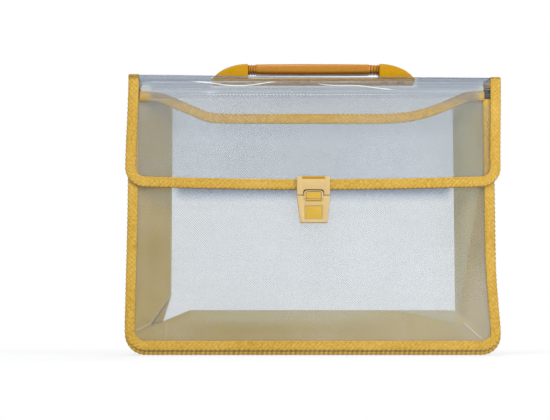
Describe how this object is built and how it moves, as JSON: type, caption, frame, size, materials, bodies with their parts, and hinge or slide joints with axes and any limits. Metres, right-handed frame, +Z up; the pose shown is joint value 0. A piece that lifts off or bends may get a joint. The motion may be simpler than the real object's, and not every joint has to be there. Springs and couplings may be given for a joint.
{
  "type": "expanding document bag",
  "caption": "Flat document bag of clear sheet with folding gussets, taped edges, a fold-over lid, a push lock and a carrying handle.",
  "frame": {"origin": "bottom centre of the bounding box, on the surface that the bag stands on", "axes": "+X to the right as seen from the front, -Y out of the front with the lock, +Z up to the handle"},
  "size_m": [0.376, 0.045, 0.2966],
  "materials": {
    "clear_sheet": "clear, fine diagonal emboss",
    "gusset_film": "smooth translucent film",
    "binding_tape": "woven tape",
    "handle_plastic": "gloss moulding",
    "grip_plastic": "gloss moulding",
    "lock_plastic": "satin moulding",
    "button_plastic": "satin moulding",
    "dark_steel": "dark plated steel"
  },
  "bodies": {
    "back": {"back_panel": "clear_sheet", "back_binding": "binding_tape"},
    "front": {"front_panel": "clear_sheet", "front_binding": "binding_tape", "front_mouth_tape": "binding_tape", "corner_clips": "dark_steel", "lock_body": "lock_plastic", "lock_body_backing": "lock_plastic", "lock_body_rivets": "lock_plastic", "lock_spring": "dark_steel"},
    "button": {"lock_button": "button_plastic"},
    "left_rear": {"gusset_left_rear": "gusset_film", "gusset_left_rear_hem": "binding_tape"},
    "left_front": {"gusset_left_front": "gusset_film", "gusset_left_front_hem": "binding_tape"},
    "right_rear": {"gusset_right_rear": "gusset_film", "gusset_right_rear_hem": "binding_tape"},
    "right_front": {"gusset_right_front": "gusset_film", "gusset_right_front_hem": "binding_tape"},
    "bottom_rear": {"gusset_bottom_rear": "gusset_film"},
    "bottom_front": {"gusset_bottom_front": "gusset_film"},
    "spine": {"spine_panel": "clear_sheet", "spine_binding": "binding_tape", "handle_base": "handle_plastic", "handle_rivets": "handle_plastic", "handle_bracket_left": "handle_plastic", "handle_bracket_right": "handle_plastic", "handle_neck_left": "grip_plastic", "handle_neck_right": "grip_plastic"},
    "grip": {"handle_grip": "grip_plastic"},
    "strip": {"lid_strip": "clear_sheet", "lid_strip_binding": "binding_tape"},
    "flap": {"lid_flap": "clear_sheet", "lid_binding": "binding_tape", "lock_flap_plate": "lock_plastic", "lock_flap_backing": "lock_plastic", "lock_flap_rivets": "lock_plastic"}
  },
  "joints": [
    {"name": "panel_spread", "type": "slide", "parent": "back", "child": "front", "axis": [0, 1, 0], "range_m": [0, 0.02658]},
    {"name": "left_rear_leaf", "type": "hinge", "parent": "back", "child": "left_rear", "pos_m": [-0.1776, 0.01875, 0.15], "axis": [0, 0, 1], "range_deg": [0, 21.02]},
    {"name": "left_fold", "type": "hinge", "parent": "left_rear", "child": "left_front", "pos_m": [-0.14334, 0.0035, 0.15], "axis": [0, 0, 1], "range_deg": [-42.04, 0]},
    {"name": "right_rear_leaf", "type": "hinge", "parent": "back", "child": "right_rear", "pos_m": [0.1776, 0.01875, 0.15], "axis": [0, 0, 1], "range_deg": [-21.02, 0]},
    {"name": "right_fold", "type": "hinge", "parent": "right_rear", "child": "right_front", "pos_m": [0.14334, 0.0035, 0.15], "axis": [0, 0, 1], "range_deg": [0, 42.04]},
    {"name": "bottom_rear_leaf", "type": "hinge", "parent": "back", "child": "bottom_rear", "pos_m": [0, 0.01875, 0.0104], "axis": [1, 0, 0], "range_deg": [-21.02, 0]},
    {"name": "bottom_fold", "type": "hinge", "parent": "bottom_rear", "child": "bottom_front", "pos_m": [0, 0.0035, 0.04466], "axis": [1, 0, 0], "range_deg": [0, 42.04]},
    {"name": "lid_back_fold", "type": "hinge", "parent": "back", "child": "spine", "pos_m": [0, 0.02145, 0.2786], "axis": [-1, 0, 0], "range_deg": [0, 180]},
    {"name": "lid_front_fold", "type": "hinge", "parent": "spine", "child": "strip", "pos_m": [0, -0.01725, 0.2786], "axis": [-1, 0, 0], "range_deg": [0, 180]},
    {"name": "lid_score_fold", "type": "hinge", "parent": "strip", "child": "flap", "pos_m": [0, -0.01725, 0.2586], "axis": [1, 0, 0], "range_deg": [0, 14]},
    {"name": "grip_lift", "type": "slide", "parent": "spine", "child": "grip", "axis": [0, 0, 1], "range_m": [0, 0.01], "stiffness_N_per_m": 120, "deforming": ["handle_neck_left", "handle_neck_right"]},
    {"name": "button_press", "type": "slide", "parent": "front", "child": "button", "axis": [0, 1, 0], "range_m": [0, 0.002], "stiffness_N_per_m": 500, "springref_m": -0.001, "deforming": ["lock_spring"]}
  ],
  "couplings": [
    {"joint": "left_rear_leaf", "follows": "panel_spread", "rad_per_m": 13.789},
    {"joint": "left_fold", "follows": "panel_spread", "rad_per_m": -27.579},
    {"joint": "right_rear_leaf", "follows": "panel_spread", "rad_per_m": -13.789},
    {"joint": "right_fold", "follows": "panel_spread", "rad_per_m": 27.579},
    {"joint": "bottom_rear_leaf", "follows": "panel_spread", "rad_per_m": -13.789},
    {"joint": "bottom_fold", "follows": "panel_spread", "rad_per_m": 27.579},
    {"joint": "lid_score_fold", "follows": "panel_spread", "rad_per_m": 9.1009}
  ]
}
